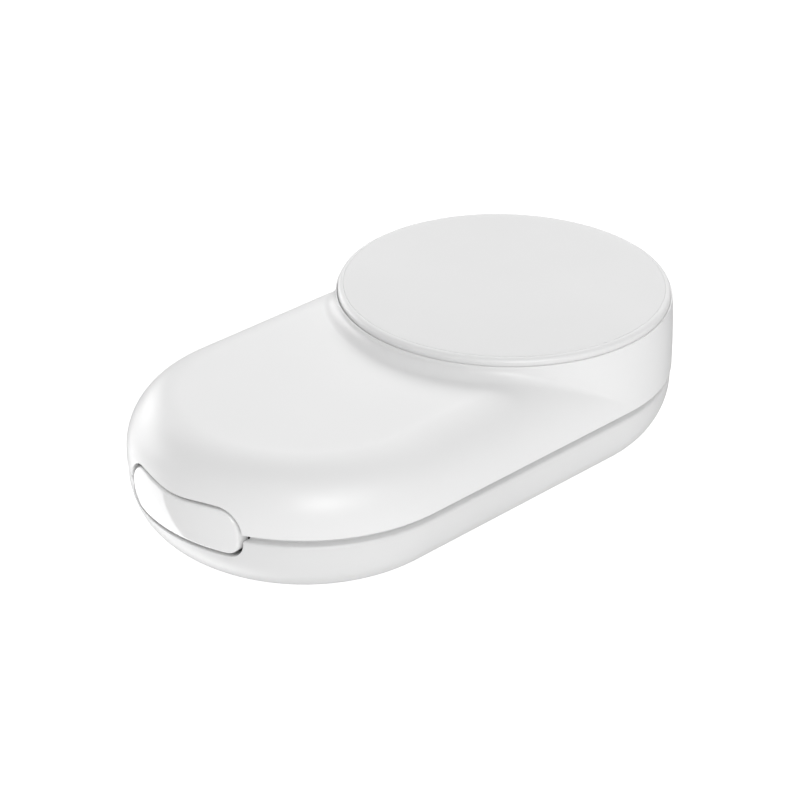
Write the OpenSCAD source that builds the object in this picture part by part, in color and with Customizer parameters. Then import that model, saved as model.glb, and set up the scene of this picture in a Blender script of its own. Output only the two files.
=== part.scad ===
// Pill-shaped portable magnetic wireless charger, with a push button in its rounded end.
// The long axis is X and the charging disc is at the +X end. The table is the plane z = 0.

/* [Case] */
// Width across the straight sides
body_w = 60; // [58:1:64]
// Distance between the axes of the two round ends
axis_gap = 48; // [46:1:56]
// Height of the upper shell's lower edge above the table
seam_z = 13.6; // [13.4:0.1:14.2]
// Height of the deck above the upper shell's lower edge
deck_h = 10.9; // [10.8:0.1:12]
// Radius of the rounding from the side wall to the deck
deck_round = 9.3; // [8:0.1:10]
// Radius of the rounding from the side wall to the underside
tray_round = 11.3; // [10:0.1:11.5]
// Wall thickness of the upper shell
wall = 1.6; // [1.4:0.1:2]
// Height of the shadow gap between the shells
reveal_h = 1.3; // [1:0.1:1.6]
// Depth of the shadow gap between the shells
reveal_d = 1.7; // [1.4:0.1:1.8]

/* [Charging disc] */
// Height of the drum's rim above the deck
rim_h = 2.2; // [1.8:0.1:3]
// Height of the soft face above the drum's rim
disc_h = 1.35; // [1.2:0.05:1.6]
// Radius of the white edge around the soft face
disc_r = 29.1; // [28.5:0.1:29.2]
// Radius of the soft face
pad_r = 28.3; // [27.5:0.1:28.4]
// Radius of the blend between the deck and the drum
blend_r = 3; // [2.5:0.5:5]

/* [Button] */
// Half width of the button
button_y = 12.65; // [11:0.05:13]
// Lower edge of the button, below the upper shell's edge
button_low = 4.2; // [3.8:0.1:4.4]
// Upper corners of the button, above the upper shell's edge
button_high = 3.5; // [3:0.1:3.8]
// Gap all round the button
button_gap = 0.6; // [0.4:0.05:0.7]

/* [Battery] */
// Radius of one cell
cell_r = 9.15; // [9:0.05:9.2]
// Length of one cell
cell_l = 65; // [64:0.5:65]

/* [Hidden] */
$fn = 96;

// Case heights and radii
end_x = axis_gap / 2;
body_r = body_w / 2;
foot_z = 0.3;
deck_z = seam_z + deck_h;
rim_z = deck_z + rim_h;
disc_z = rim_z + disc_h;
tray_r = body_r - 0.2;
tray_top = seam_z - reveal_h;
tray_wall = 2.2;
tray_edge = 0.45;
floor_z = foot_z + tray_wall;
lip_r = body_r - reveal_d;
lip_t = 1.2;
lip_top = seam_z + 1.8;
inner_r = body_r - wall;

// Charging stack, from the drum's floor up
drum_floor_t = 1.2;
drum_floor_z = deck_z - wall;
well_r = 27.9;
cap_z = rim_z - 1;
cap_gap = 0.15;
pad_t = 0.85;
spreader_t = 0.5;
yoke_t = 0.5;
magnet_t = 1.7;
magnet_r = [23.2, 27.4];
magnet_count = 18;
ferrite_t = 0.8;
ferrite_r = 22.2;
coil_t = 1;
coil_r = [10.5, 21.5];
carrier_t = 0.6;
lead_x = 36.2;
stack_z = drum_floor_z + spreader_t;
carrier_z = stack_z + yoke_t + magnet_t;

// Battery
cell_y = cell_r + 0.1;
cell_z = floor_z + 0.35 + cell_r;
cell_x = -cell_l / 2 - 0.5;
cell_end_x = cell_x + cell_l;
strap_t = 0.3;
cradle_y = 18.2;
cradle_top = 8;

// Main board and socket
board_z = 6.2;
board_t = 1.2;
board_top = board_z + board_t;
board_r = 25;
board_x = 35.2;
socket_z = board_top + 1.6;
socket_w = 8.94;
socket_t = 3.2;
mouth_w = socket_w - 0.6;
mouth_t = socket_t - 0.6;
socket_x = [45.8, 52.8];
led_y = 8.7;
led_x = [45.9, 47.1];
pipe_r = 0.8;
pipe_end_x = 52;
end_wall_x = 49.5;
lead_top_z = 13.6;
lead_down_x = 35.9;

// Screws
case_screw_at = [[-38.2, -7], [-38.2, 7], [37.3, -8], [37.3, 8]];
board_screw_at = [[43.5, -12], [43.5, 12]];
guide_screw_at = [[-43.6, -9.5], [-43.6, 9.5]];
case_screw_r = 1.25;
small_screw_r = 1;
boss_split_z = 8;
boss_r = 2.7;
screw_head_r = 2.1;
screw_head_z = [1.5, 3.3];
screw_end_z = 13;
foot_r = 18;
recess_d = 0.6;

// Button module
button_z = 12.6;
face_round = 18.7;
button_inner_r = 27.8;
post_y = 9;
post_r = 1.5;
post_end_x = -42.6;
guide_x = [-47, -45.4];
collar_x = -43.5;
clip_t = 0.6;
nib_end_x = -48.6;
switch_x = [-47.6, -44.2];
button_board_t = 1;
spring_r = [1.75, 2.2];
spring_x = -49.2;
window_x = -47.2;

// ---------- shared shapes ----------

// A pill-shaped solid from a half section: x is the distance from the spine, y is the height
module pill() {
    straight_and_end() children();
    translate([end_x, 0, 0]) rotate(-90) rotate_extrude(angle = 180) children();
}

// The same without the round end on the +X side
module straight_and_end() {
    translate([-end_x, 0, 0])
        rotate([90, 0, 90])
            linear_extrude(axis_gap) {
                children();
                mirror([1, 0]) children();
            }
    translate([-end_x, 0, 0]) rotate(90) rotate_extrude(angle = 180) children();
}

// An upright stadium, as long as the case, with the half width r
module stadium(r, z0, z1) {
    translate([-end_x, -r, z0]) cube([axis_gap, 2 * r, z1 - z0]);
    for (x = [-end_x, end_x])
        translate([x, 0, z0]) cylinder(r = r, h = z1 - z0);
}

// A box from its two corners
module box(low, high) {
    translate(low) cube(high - low);
}

// A cylinder along X from x0 to x1
module rod_x(r, x0, x1, y, z) {
    translate([x0, y, z]) rotate([0, 90, 0]) cylinder(r = r, h = x1 - x0);
}

// Upright cylinders at each of the places in at
module pegs(at, r, z0, z1) {
    for (p = at)
        translate([p[0], p[1], z0]) cylinder(r = r, h = z1 - z0);
}

// A flat ring on the drum's axis
module ring(r_in, r_out, z0, z1) {
    translate([end_x, 0, z0])
        difference() {
            cylinder(r = r_out, h = z1 - z0);
            translate([0, 0, -1]) cylinder(r = r_in, h = z1 - z0 + 2);
        }
}

// Half section with a rounded shoulder on top
module shoulder_section(r, z0, z1, round_r) {
    intersection() {
        union() {
            translate([0, z0]) square([r, z1 - round_r - z0]);
            translate([0, z0]) square([r - round_r, z1 - z0]);
            translate([r - round_r, z1 - round_r]) circle(r = round_r);
        }
        translate([0, z0]) square([r, z1 - z0]);
    }
}

// Half section with a rounded lower edge, cut off at the height z1
module bowl_section(r, z0, z1, round_r) {
    intersection() {
        union() {
            translate([0, z0]) square([r - round_r, z1 - z0]);
            translate([r - round_r, z0 + round_r]) circle(r = round_r);
            translate([0, z0 + round_r]) square([r, z1 - z0]);
        }
        translate([0, z0]) square([r, z1 - z0]);
    }
}

// The button's outline as seen from its end, grown outwards by the amount grow
module button_outline(grow) {
    low = seam_z - button_low - grow;
    high = seam_z + button_high + grow;
    mid = (low + high) / 2;
    half_w = button_y + grow;
    low_round = 2.4 + grow;
    high_round = 3.6 + grow;
    dip_r = 53.6 - grow;
    difference() {
        union() {
            translate([-half_w, low + low_round])
                square([2 * half_w, high - high_round - low - low_round]);
            translate([-half_w + high_round, mid])
                square([2 * (half_w - high_round), high - mid]);
            translate([-half_w + low_round, low])
                square([2 * (half_w - low_round), mid - low]);
            for (s = [-1, 1]) {
                translate([s * (half_w - high_round), high - high_round])
                    circle(r = high_round);
                translate([s * (half_w - low_round), low + low_round])
                    circle(r = low_round);
            }
        }
        translate([0, high - 0.6 + dip_r]) circle(r = dip_r);
    }
}

// The button's outline as a prism along X
module button_prism(grow, x0, x1) {
    translate([x0, 0, 0]) rotate([90, 0, 90]) linear_extrude(x1 - x0) button_outline(grow);
}

// A flat slot along X with round ends, such as the socket's mouth
module slot_x(w, t, x0, x1, z) {
    box([x0, -(w - t) / 2, z - t / 2], [x1, (w - t) / 2, z + t / 2]);
    for (s = [-1, 1]) rod_x(t / 2, x0, x1, s * (w - t) / 2, z);
}

// A pan-head screw that stands in the hole below it
module screw(p, r, head_r, head_t, z_head, length) {
    translate([p[0], p[1], z_head]) cylinder(r = head_r, h = head_t);
    translate([p[0], p[1], z_head - length]) cylinder(r = r, h = length + 0.1);
}

// ---------- case ----------

module upper_shell() {
    color("whitesmoke")
    difference() {
        union() {
            shell_outside();
            drum_blend();
        }
        difference() {
            pill() shoulder_section(inner_r, seam_z - 1, drum_floor_z, deck_round - wall);
            translate([end_x, 0, drum_floor_z - drum_floor_t])
                cylinder(r = body_r + 0.5, h = 5);
            pegs(case_screw_at, boss_r, boss_split_z, deck_z);
        }
        translate([end_x, 0, drum_floor_z]) cylinder(r = well_r, h = 10);
        translate([end_x, 0, cap_z]) cylinder(r = disc_r + cap_gap, h = 10);
        pegs(case_screw_at, case_screw_r, seam_z - 2, 15);
        lead_slot(drum_floor_z - 3, drum_floor_z + 1);
        button_prism(button_gap, -body_r - end_x - 1, window_x + 3);
    }
    color("whitesmoke")
    difference() {
        pegs(case_screw_at, boss_r, boss_split_z + 0.05, seam_z);
        pegs(case_screw_at, case_screw_r, boss_split_z - 1, seam_z + 1);
    }
}

// Deck, round end and drum: the drum's inner half starts where the shoulder leaves the wall
module shell_outside() {
    drum_foot_z = deck_z - deck_round + 0.8;
    straight_and_end() shoulder_section(body_r, seam_z, deck_z, deck_round);
    translate([end_x, 0, seam_z])
        rotate(-90) rotate_extrude(angle = 180) square([body_r, rim_z - seam_z]);
    translate([end_x, 0, drum_foot_z])
        rotate(90) rotate_extrude(angle = 180) square([body_r, rim_z - drum_foot_z]);
}

// Concave blend between the deck and the drum, on the level part of the deck
module drum_blend() {
    slope = acos(1 - rim_h / blend_r);
    top_r = body_r + 0.25;
    foot_r = top_r + blend_r * sin(slope);
    sector = asin((body_r - deck_round) / foot_r) - 1.5;
    translate([end_x, 0, 0])
        rotate(180 - sector)
            rotate_extrude(angle = 2 * sector)
                difference() {
                    translate([body_r - 0.3, deck_z - 0.5])
                        square([foot_r - body_r + 0.3, rim_h + 0.5]);
                    translate([foot_r, deck_z + blend_r - 0.02]) circle(r = blend_r);
                }
}

module lower_shell() {
    color("whitesmoke")
    difference() {
        union() {
            difference() {
                pill() tray_section();
                pill() tray_hollow_section();
            }
            pegs(case_screw_at, 3, foot_z + 0.7, boss_split_z);
            pegs(board_screw_at, 2.2, floor_z + 0.1, board_z);
            pegs(guide_screw_at, 2.2, floor_z - 0.1, 5.2);
        }
        stadium(foot_r + 0.1, foot_z - 1, foot_z + recess_d);
        pegs(case_screw_at, screw_head_r + 0.2, foot_z, screw_head_z[1]);
        pegs(case_screw_at, case_screw_r + 0.15, screw_head_z[1] - 0.3, boss_split_z + 1);
        pegs(board_screw_at, small_screw_r, 3.6, board_z + 1);
        pegs(guide_screw_at, small_screw_r, 2.8, 6);
        button_prism(button_gap, -body_r - end_x - 1, window_x);
        slot_x(socket_w + 0.5, socket_t + 0.5, end_wall_x, end_wall_x + 5.5, socket_z);
        rod_x(pipe_r + 0.1, end_wall_x - 0.5, end_wall_x + 4.5, led_y, socket_z);
    }
}

// Outside of the tray, with its rounded top edge and the lip that enters the upper shell
module tray_section() {
    bowl_section(tray_r, foot_z, tray_top - tray_edge, tray_round);
    translate([0, foot_z + tray_round])
        square([tray_r - tray_edge, tray_top - foot_z - tray_round]);
    translate([tray_r - tray_edge, tray_top - tray_edge]) circle(r = tray_edge);
    translate([0, foot_z + tray_round]) square([lip_r, lip_top - foot_z - tray_round]);
}

module tray_hollow_section() {
    round_r = tray_round - tray_wall;
    bowl_section(tray_r - tray_wall, floor_z, 11, round_r);
    translate([0, 10.9]) square([lip_r - lip_t, lip_top - 10]);
}

module foot_pad() {
    color("gainsboro") stadium(foot_r, 0, foot_z + recess_d);
}

module case_screws() {
    color("silver")
    for (p = case_screw_at) {
        translate([p[0], p[1], screw_head_z[0]])
            cylinder(r = screw_head_r, h = screw_head_z[1] - screw_head_z[0]);
        translate([p[0], p[1], screw_head_z[1] - 0.1])
            cylinder(r = case_screw_r, h = screw_end_z - screw_head_z[1] + 0.1);
    }
}

// ---------- charging disc ----------

module disc_cap() {
    edge_r = disc_r - pad_r;
    color("white")
    translate([end_x, 0, 0])
        rotate_extrude() {
            translate([0, cap_z + 0.5]) square([pad_r, disc_z - pad_t - cap_z - 0.5]);
            translate([27.5, cap_z]) square([disc_r - 27.5, disc_z - pad_t - cap_z]);
            intersection() {
                translate([pad_r, disc_z - pad_t]) circle(r = edge_r);
                translate([pad_r, disc_z - pad_t]) square([edge_r, edge_r]);
            }
        }
}

module disc_pad() {
    color("lightgray")
    translate([end_x, 0, disc_z - pad_t]) cylinder(r = pad_r, h = pad_t);
}

module magnet_ring() {
    step = 360 / magnet_count;
    color("silver")
    for (i = [0 : magnet_count - 1])
        translate([end_x, 0, stack_z + yoke_t])
            rotate(i * step + 1)
                rotate_extrude(angle = step - 2)
                    translate([magnet_r[0], 0])
                        square([magnet_r[1] - magnet_r[0], magnet_t]);
}

module magnet_yoke() {
    color("dimgray") ring(magnet_r[0], magnet_r[1], stack_z, stack_z + yoke_t);
}

module charging_coil() {
    z0 = stack_z + ferrite_t;
    color("peru") ring(coil_r[0], coil_r[1], z0, z0 + coil_t);
}

module ferrite_shield() {
    color("darkslategray")
    difference() {
        translate([end_x, 0, stack_z]) cylinder(r = ferrite_r, h = ferrite_t);
        lead_slot(stack_z - 1, stack_z + 2);
    }
}

module coil_carrier() {
    color("gray") {
        ring(9, magnet_r[1], carrier_z, carrier_z + carrier_t);
        ring(ferrite_r + 0.2, magnet_r[0] - 0.1, stack_z, carrier_z + 0.1);
    }
}

module heat_spreader() {
    color("silver")
    difference() {
        translate([end_x, 0, drum_floor_z]) cylinder(r = 27.5, h = spreader_t);
        lead_slot(drum_floor_z - 1, drum_floor_z + 2);
    }
}

// The slot in the drum's floor and the coil stack that the coil's leads pass through
module lead_slot(z0, z1) {
    box([lead_x - 1.4, -2.6, z0], [lead_x + 1.8, 2.6, z1]);
}

module coil_leads() {
    color("peru")
    for (s = [-1, 1])
        translate([lead_x, s * 1.2, board_top])
            cylinder(r = 0.4, h = stack_z + ferrite_t - board_top);
}

// ---------- battery ----------

module battery_cells() {
    color("mediumseagreen")
    for (s = [-1, 1]) {
        rod_x(cell_r, cell_x + 0.8, cell_end_x - 0.8, s * cell_y, cell_z);
        rod_x(3, cell_x, cell_end_x, s * cell_y, cell_z);
    }
}

module cell_cradle() {
    color("dimgray")
    difference() {
        intersection() {
            box([cell_x - 2, -cradle_y, floor_z + 0.1], [cell_end_x + 2, cradle_y, cradle_top]);
            stadium(cradle_y + 1.2, floor_z, cradle_top + 1);
        }
        for (s = [-1, 1])
            rod_x(cell_r + 0.1, cell_x - 0.4, cell_end_x + 0.4, s * cell_y, cell_z);
    }
}

module cell_straps() {
    color("silver") {
        box([cell_x - strap_t, -cell_y - 3, cell_z - 2.5],
            [cell_x, cell_y + 3, cell_z + 2.5]);
        for (s = [-1, 1])
            translate([cell_end_x, s * 7.5 - 4.7, cell_z - 2.5])
                cube([strap_t, 9.4, 5]);
    }
}

module cell_leads() {
    color("firebrick")
    for (s = [-1, 1]) {
        rod_x(0.6, cell_end_x + strap_t, lead_down_x, s * 3.6, lead_top_z);
        translate([lead_down_x, s * 3.6, lead_top_z]) sphere(r = 0.6);
        translate([lead_down_x, s * 3.6, board_top])
            cylinder(r = 0.6, h = lead_top_z - board_top);
    }
}

module cell_sensor() {
    sensor_z = 16.9;
    sensor_x = [8, 13];
    wire_r = 0.35;
    wire_end_x = 37.4;
    color("black") {
        rod_x(1.2, sensor_x[0], sensor_x[1], 0, sensor_z);
        rod_x(wire_r, sensor_x[1] - 0.5, wire_end_x, 0, sensor_z);
        translate([wire_end_x, 0, sensor_z]) sphere(r = wire_r);
        translate([wire_end_x, 0, board_top]) cylinder(r = wire_r, h = sensor_z - board_top);
    }
}

module foam_pads() {
    z1 = drum_floor_z - drum_floor_t;
    color("black")
    for (s = [-1, 1])
        translate([0, s * cell_y - 3, cell_z + cell_r + 0.02])
            cube([28, 6, z1 - cell_z - cell_r - 0.02]);
}

// ---------- electronics ----------

module main_board() {
    color("darkgreen")
    difference() {
        intersection() {
            translate([end_x, 0, board_z]) cylinder(r = board_r, h = board_t);
            box([board_x, -board_r, board_z - 1], [60, board_r, board_top + 1]);
        }
        pegs(case_screw_at, 3.2, board_z - 1, board_top + 1);
        pegs(board_screw_at, 1.1, board_z - 1, board_top + 1);
    }
}

module board_screws() {
    color("silver")
    for (p = board_screw_at)
        screw(p, small_screw_r, 1.8, 1.3, board_top, 3.4);
}

module board_chips() {
    color("black") {
        box([40.6, -8.4, board_top], [44.6, -4.4, board_top + 0.9]);
        box([37.6, -16.5, board_top], [40.6, -13.5, board_top + 0.8]);
        box([37.6, 13.5, board_top], [40.6, 16.5, board_top + 0.8]);
    }
}

module board_coils() {
    color("darkslategray") {
        box([38.4, -3.2, board_top], [44.8, 3.2, board_top + 4.2]);
        translate([42.6, 6.4, board_top]) cylinder(r = 2.4, h = 5.4);
    }
}

module usb_shell() {
    color("silver")
    difference() {
        slot_x(socket_w, socket_t, socket_x[0], socket_x[1], socket_z);
        slot_x(mouth_w, mouth_t, socket_x[0] + 0.4, socket_x[1] + 1, socket_z);
    }
}

module usb_tongue() {
    color("black") {
        slot_x(mouth_w - 0.1, mouth_t - 0.1, socket_x[0] + 0.4, socket_x[0] + 1.6, socket_z);
        box([socket_x[0] + 1.5, -3.35, socket_z - 0.35],
            [socket_x[1] - 1, 3.35, socket_z + 0.35]);
    }
}

module status_led() {
    color("white")
    box([led_x[0], led_y - 0.7, board_top], [led_x[1], led_y + 0.7, socket_z + 0.6]);
}

module light_pipe() {
    color("white") rod_x(pipe_r, led_x[1], pipe_end_x, led_y, socket_z);
}

// ---------- button module ----------

module button_cap() {
    color("white") {
        intersection() {
            translate([-end_x, 0, 0])
                rotate(135)
                    rotate_extrude(angle = 90)
                        intersection() {
                            translate([body_r - face_round, seam_z - 0.3])
                                circle(r = face_round);
                            translate([button_inner_r, seam_z - 6]) square([5, 12]);
                        }
            button_prism(0, -body_r - end_x - 1, window_x + 3);
        }
        for (s = [-1, 1])
            rod_x(post_r, -51, post_end_x, s * post_y, button_z);
        rod_x(1.3, -52.5, nib_end_x, 0, button_z);
    }
}

module post_clips() {
    color("silver")
    for (s = [-1, 1])
        difference() {
            rod_x(2.5, collar_x + 0.1, collar_x + 0.1 + clip_t, s * post_y, button_z);
            rod_x(post_r, collar_x - 1, collar_x + 2, s * post_y, button_z);
        }
}

module button_springs() {
    color("silver")
    for (s = [-1, 1])
        difference() {
            rod_x(spring_r[1], spring_x, guide_x[0], s * post_y, button_z);
            rod_x(spring_r[0], spring_x - 1, guide_x[0] + 1, s * post_y, button_z);
        }
}

module button_guide() {
    color("gray")
    difference() {
        union() {
            box([guide_x[0], -13.5, 8.2], [guide_x[1], 13.5, 18.6]);
            box([guide_x[0], -8, 5.2], [guide_x[1], 8, 8.4]);
            box([guide_x[1] - 0.1, -11.8, 5.2], [-41.9, 11.8, 6.4]);
            for (s = [-1, 1]) {
                rod_x(2.6, guide_x[0] + 0.5, collar_x, s * post_y, button_z);
                for (z = [button_z - 3.6, button_z + 3.6])
                    rod_x(0.9, guide_x[0] + 0.5, switch_x[1], s * 4.9, z);
            }
        }
        for (s = [-1, 1])
            rod_x(post_r + 0.05, guide_x[0] - 1, collar_x + 1, s * post_y, button_z);
        box([guide_x[0] - 1, -3.3, button_z - 3.3], [guide_x[1] + 1, 3.3, button_z + 3.3]);
        pegs(guide_screw_at, 1.1, 4, 8);
    }
}

module guide_screws() {
    color("silver")
    for (p = guide_screw_at)
        screw(p, small_screw_r, 1.8, 1.2, 6.4, 3.4);
}

module switch_body() {
    color("dimgray")
    difference() {
        box([switch_x[0], -3, button_z - 3], [switch_x[1], 3, button_z + 3]);
        rod_x(1.7, switch_x[0] - 1, switch_x[0] + 2.1, 0, button_z);
    }
}

module switch_plunger() {
    color("black") rod_x(1.6, nib_end_x, switch_x[0] + 1.2, 0, button_z);
}

module button_board() {
    color("darkgreen")
    box([switch_x[1], -6.2, 6.8], [switch_x[1] + button_board_t, 6.2, 17.4]);
}

// Flat cable from the button's board, along the side of the battery, to the main board
module button_ribbon() {
    t = 0.2;
    low = board_top;
    high = board_top + 2.4;
    x0 = switch_x[1] + button_board_t;
    turn_x = -41.6;
    side_y = -19;
    color("orange") {
        box([x0, -6, low], [turn_x, -6 + t, high]);
        box([turn_x - t, side_y, low], [turn_x, -6 + t, high]);
        box([turn_x - t, side_y - t, low], [40, side_y, high]);
    }
}

// ---------- output ----------

upper_shell();
lower_shell();
disc_cap();
disc_pad();
magnet_ring();
magnet_yoke();
charging_coil();
ferrite_shield();
coil_carrier();
heat_spreader();
coil_leads();
battery_cells();
cell_cradle();
cell_straps();
cell_leads();
cell_sensor();
foam_pads();
main_board();
board_chips();
board_coils();
usb_shell();
usb_tongue();
board_screws();
status_led();
light_pipe();
button_cap();
button_guide();
button_springs();
post_clips();
switch_body();
switch_plunger();
button_board();
guide_screws();
button_ribbon();
case_screws();
foot_pad();
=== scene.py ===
import math

import bmesh
import bpy
from mathutils import Matrix, Vector


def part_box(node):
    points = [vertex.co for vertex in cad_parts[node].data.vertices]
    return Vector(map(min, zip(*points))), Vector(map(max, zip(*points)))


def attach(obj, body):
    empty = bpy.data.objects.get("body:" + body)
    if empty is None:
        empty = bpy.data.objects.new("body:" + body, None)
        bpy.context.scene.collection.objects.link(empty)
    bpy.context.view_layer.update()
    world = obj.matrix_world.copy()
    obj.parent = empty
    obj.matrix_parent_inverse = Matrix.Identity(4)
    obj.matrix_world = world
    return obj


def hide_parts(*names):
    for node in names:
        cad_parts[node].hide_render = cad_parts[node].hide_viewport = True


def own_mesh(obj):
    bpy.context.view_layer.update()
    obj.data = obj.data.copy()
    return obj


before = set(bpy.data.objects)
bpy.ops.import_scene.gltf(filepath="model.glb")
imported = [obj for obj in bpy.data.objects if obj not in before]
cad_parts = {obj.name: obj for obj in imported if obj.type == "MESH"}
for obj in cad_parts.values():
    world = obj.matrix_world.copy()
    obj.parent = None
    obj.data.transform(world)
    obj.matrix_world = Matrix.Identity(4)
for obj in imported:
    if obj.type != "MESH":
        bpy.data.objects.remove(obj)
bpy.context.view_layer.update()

# ---------------------------------------------------------------- sizes, in millimetres

MM = 0.001


def node_box(name):
    """Both corners of a CAD node's box."""
    low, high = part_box(name)
    return [v / MM for v in low], [v / MM for v in high]


_, SHELL_HIGH = node_box("upper_shell")
TRAY_LOW, TRAY_HIGH = node_box("lower_shell")
PAD_LOW, PAD_HIGH = node_box("disc_pad")
CAP_LOW, CAP_HIGH = node_box("disc_cap")
BUTTON_LOW, BUTTON_HIGH = node_box("button_cap")
_, FOOT_HIGH = node_box("foot_pad")
SOCKET_LOW, SOCKET_HIGH = node_box("usb_shell")

BODY_R = SHELL_HIGH[1]                    # half width, and radius of both round ends
END_X = SHELL_HIGH[0] - BODY_R            # axis of the drum and of the +X round end
RIM_Z = SHELL_HIGH[2]                     # top of the drum's rim
DECK_Z = RIM_Z - 2.2
DECK_ROUND = 9.3
DECK_FLAT = BODY_R - DECK_ROUND           # half width of the level deck
SHOULDER_Z = DECK_Z - DECK_ROUND          # height where the wall starts to round over
SEAM_Z = DECK_Z - 10.9                    # lower edge of the upper shell
WALL = 1.6
CAP_Z = CAP_LOW[2]
CAP_R = (CAP_HIGH[0] - CAP_LOW[0]) / 2 + 0.15
PAD_R = (PAD_HIGH[0] - PAD_LOW[0]) / 2
WELL_R = 27.9
BLEND_R = 1.9

TRAY_R = TRAY_HIGH[1]
TRAY_ROUND = 11.3
TRAY_FLAT = TRAY_R - TRAY_ROUND
TRAY_Z = TRAY_LOW[2]
TRAY_TOP = SEAM_Z - 1.3
LIP_R = BODY_R - 1.7
LIP_T = 1.2
LIP_FOOT_Z = 11.0                         # inside the tray, where the lip starts
TRAY_WALL = 2.2
RECESS_R = 18.1                           # half width of the foot pad's recess
RECESS_D = 0.6

BUTTON_HALF_W = BUTTON_HIGH[1]
BUTTON_BOTTOM = BUTTON_LOW[2]
BUTTON_TOP = BUTTON_HIGH[2]
BUTTON_GAP = 0.6
BUTTON_Z = 12.6
FACE_ROUND = 18.7
DIP = 0.6                                 # the top edge is lower in the middle
DIP_HALF_W = 8.5
POST_Y = 9.0                              # the posts and springs lie at both sides of the middle
BUTTON_BACK_R = 27.8
WINDOW_END_X = -46.6
CUT_FROM_X = 49.5                         # the socket's and the light's openings run between these
CUT_TO_X = 55.0

COIL_HOLE_R = 10.5
FLAT_END = 0.12                           # share of a spring's turns that lie flat at each end

DRUM_SIDES = 360
ROD_SIDES = 48
AXIS_R = 0.01                             # where a turned profile ends at its axis


# ---------------------------------------------------------------- mesh helpers

def closed_mesh(name, verts, faces):
    """A mesh from points in millimetres, with every face turned outwards."""
    mesh = bpy.data.meshes.new(name)
    mesh.from_pydata([(x * MM, y * MM, z * MM) for x, y, z in verts], [], faces)
    mesh.validate()
    work = bmesh.new()
    work.from_mesh(mesh)
    bmesh.ops.recalc_face_normals(work, faces=work.faces)
    if work.calc_volume(signed=True) < 0:
        bmesh.ops.reverse_faces(work, faces=work.faces)
    work.to_mesh(mesh)
    work.free()
    return mesh


def link_object(name, data):
    """A new object in the scene."""
    item = bpy.data.objects.new(name, data)
    bpy.context.scene.collection.objects.link(item)
    return item


def add_piece(name, verts, faces, node, body, material):
    """A smooth mesh piece from points in millimetres, which stands for the CAD node."""
    mesh = closed_mesh(name, verts, faces)
    piece = link_object(name, mesh)
    for polygon in mesh.polygons:
        polygon.use_smooth = True
    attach(piece, body)
    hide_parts(node)
    mesh.materials.append(material)
    return piece


def sharpen(piece, degrees):
    """Marks the edges that are sharper than the angle, so that only the rest shade smoothly."""
    piece.data.set_sharp_from_angle(angle=math.radians(degrees))


def grid_faces(rows, cols, flip):
    """Quads of a grid of rows by cols points, with the last row joined to the first."""
    faces = []
    for i in range(rows):
        a = i * cols
        b = ((i + 1) % rows) * cols
        for j in range(cols - 1):
            quad = (a + j, a + j + 1, b + j + 1, b + j)
            faces.append(quad[::-1] if flip else quad)
    return faces


def loft(stations, flip=False):
    """Points and faces of a closed ring of stations, with a cap over both open sides."""
    rows, cols = len(stations), len(stations[0])
    verts = [p for station in stations for p in station]
    faces = grid_faces(rows, cols, flip)
    first = tuple(i * cols for i in range(rows))
    last = tuple(i * cols + cols - 1 for i in range(rows))
    faces.append(first[::-1] if flip else first)
    faces.append(last if flip else last[::-1])
    return verts, faces


def stack(rings, flip=False):
    """The same from a list of closed rings that lie one after the other."""
    cols = len(rings[0])
    stations = [[ring[i] for ring in rings] for i in range(cols)]
    return loft(stations, flip)


def joined(*parts):
    """One list of points and faces from several."""
    verts, faces = [], []
    for part_verts, part_faces in parts:
        base = len(verts)
        verts += part_verts
        faces += [tuple(base + i for i in face) for face in part_faces]
    return verts, faces


def lathe(profile):
    """A body of revolution about the drum's axis, from points (radius, height)."""
    stations = []
    for i in range(DRUM_SIDES):
        a = 2 * math.pi * i / DRUM_SIDES
        stations.append([(END_X + r * math.cos(a), r * math.sin(a), z) for r, z in profile])
    return loft(stations)


def lathe_x(profile, y, z):
    """A body of revolution about an axis along X, from points (radius, x)."""
    stations = []
    for i in range(ROD_SIDES):
        a = 2 * math.pi * i / ROD_SIDES
        stations.append([(x, y + r * math.cos(a), z + r * math.sin(a)) for r, x in profile])
    return loft(stations)


def arc(cx, cy, r, a0, a1, count):
    """Points on an arc, angles in degrees, both ends included."""
    points = []
    for i in range(count + 1):
        a = math.radians(a0 + (a1 - a0) * i / count)
        points.append((cx + r * math.cos(a), cy + r * math.sin(a)))
    return points


def resample(points, count, weight):
    """The path through points again, with count points spaced by length times weight."""
    total = [0.0]
    for i in range(1, len(points)):
        step = (points[i] - points[i - 1]).length
        total.append(total[-1] + step * 0.5 * (weight[i] + weight[i - 1]))
    result, j = [], 0
    for k in range(count):
        want = total[-1] * k / (count - 1)
        while j < len(total) - 2 and total[j + 1] < want:
            j += 1
        span = total[j + 1] - total[j]
        t = (want - total[j]) / span if span > 0 else 0.0
        result.append(points[j].lerp(points[j + 1], min(max(t, 0.0), 1.0)))
    return result


# ---------------------------------------------------------------- outline and surfaces of the case

def outline(step):
    """Spine point and outward normal at even steps round the case, from the -X end by +Y."""
    side = int(round(2 * END_X / step))
    turn = int(round(math.pi * BODY_R / step))
    stations = []
    for i in range(turn // 2):
        a = math.pi - math.pi / 2 * i / (turn // 2)
        stations.append(((-END_X, 0), (math.cos(a), math.sin(a))))
    for i in range(side):
        stations.append(((-END_X + 2 * END_X * i / side, 0), (0, 1)))
    for i in range(turn):
        a = math.pi / 2 - math.pi * i / turn
        stations.append(((END_X, 0), (math.cos(a), math.sin(a))))
    for i in range(side):
        stations.append(((END_X - 2 * END_X * i / side, 0), (0, -1)))
    for i in range(turn // 2):
        a = -math.pi / 2 - math.pi / 2 * i / (turn // 2)
        stations.append(((-END_X, 0), (math.cos(a), math.sin(a))))
    return stations


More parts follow.
